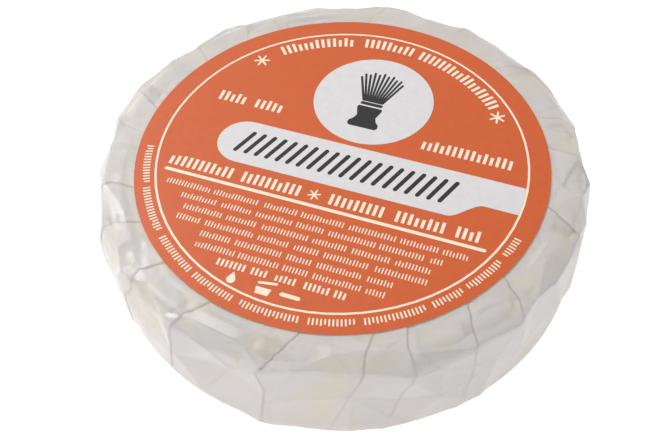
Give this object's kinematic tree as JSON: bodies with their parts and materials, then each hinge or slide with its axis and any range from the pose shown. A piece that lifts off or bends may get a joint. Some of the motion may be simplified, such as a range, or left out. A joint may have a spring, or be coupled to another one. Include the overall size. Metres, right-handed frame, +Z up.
{
  "type": "wrapped shaving soap puck",
  "caption": "Round shaving soap puck folded into one sheet of waxed paper, pleated up the side and closed on top by a round printed label.",
  "frame": {"origin": "centre of the underside, on the surface that the puck stands on", "axes": "+Z up through the label; +X along the label's lines from left to right, +Y towards the label's top"},
  "size_m": [0.0724, 0.0724, 0.0176],
  "materials": {
    "soap": "smooth hard soap",
    "waxed_paper": "thin translucent waxed paper, softly glossy, creased",
    "adhesive": "clear adhesive film",
    "label": "printed paper, low sheen"
  },
  "bodies": {
    "root": {"soap_puck": "soap", "wrapper_sheet": "waxed_paper", "label_adhesive": "adhesive", "label_paper": "label"}
  },
  "joints": []
}
